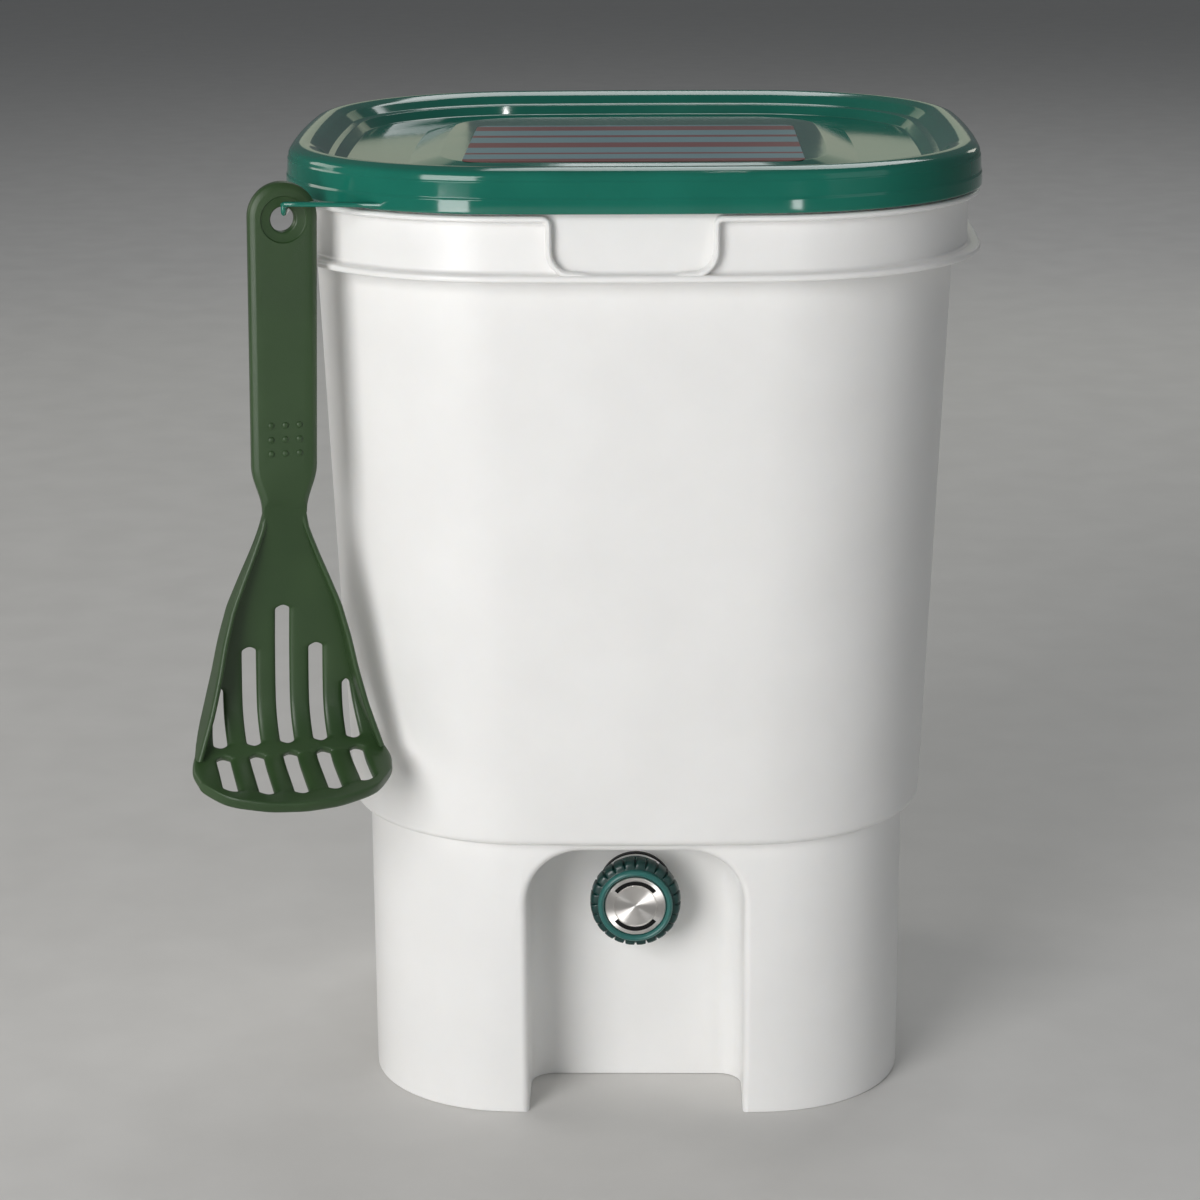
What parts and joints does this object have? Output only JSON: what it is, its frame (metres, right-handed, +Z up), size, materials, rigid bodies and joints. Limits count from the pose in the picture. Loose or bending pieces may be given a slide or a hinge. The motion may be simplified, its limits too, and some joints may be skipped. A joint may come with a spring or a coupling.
{
  "type": "bokashi bin",
  "caption": "Square-plan fermenting bin on a stand with a spigot in a front alcove, a tight sunken lid, a drain grate inside and a masher hung on the lid's hook.",
  "frame": {"origin": "on the floor under the middle of the bin", "axes": "+Z up, -Y to the front with the spigot, +X to the right seen from the front"},
  "size_m": [0.3497, 0.3276, 0.437],
  "materials": {
    "white_plastic": "satin white polypropylene",
    "grate_plastic": "plain white polypropylene",
    "lid_green": "glossy green polypropylene",
    "seal_rubber": "black seal rubber",
    "label_print": "printed sheet with plain bands",
    "masher_nylon": "dark green nylon",
    "bright_ring": "bright plated metal",
    "spigot_plastic": "dark teal plastic",
    "plug_plastic": "white acetal",
    "knob_teal": "dark teal plastic",
    "spun_steel": "spun stainless steel",
    "mark_black": "black print"
  },
  "bodies": {
    "bin": {"stand": "white_plastic", "bucket": "white_plastic", "bucket_sump": "white_plastic", "bucket_flange": "white_plastic", "bucket_collar": "white_plastic", "bucket_bead": "white_plastic", "outer_gasket": "seal_rubber", "trim_ring": "bright_ring", "spigot_body": "spigot_plastic", "inner_gasket": "seal_rubber", "lock_nut": "spigot_plastic", "bonnet": "spigot_plastic"},
    "lid": {"lid": "lid_green", "lid_gasket": "seal_rubber", "lid_label": "label_print"},
    "grate": {"drain_grate": "grate_plastic"},
    "knob": {"knob": "knob_teal", "valve_plug": "plug_plastic", "stem_o_ring": "seal_rubber", "knob_screw": "bright_ring", "knob_disc": "spun_steel", "dial_marks": "mark_black"},
    "masher": {"masher": "masher_nylon"}
  },
  "joints": [
    {"name": "lid_lift", "type": "slide", "parent": "bin", "child": "lid", "axis": [0, 0, 1], "range_m": [0, 0.12]},
    {"name": "grate_lift", "type": "slide", "parent": "bin", "child": "grate", "axis": [0, 0, 1], "range_m": [0, 0.2]},
    {"name": "knob_turn", "type": "hinge", "parent": "bin", "child": "knob", "pos_m": [0, -0.097, 0.0945], "axis": [0, 1, 0], "range_deg": [0, 90]},
    {"name": "masher_swing", "type": "hinge", "parent": "lid", "child": "masher", "pos_m": [-0.1467, -0.12772, 0.4164], "axis": [0, 1, 0], "range_deg": [-1, 70]}
  ]
}
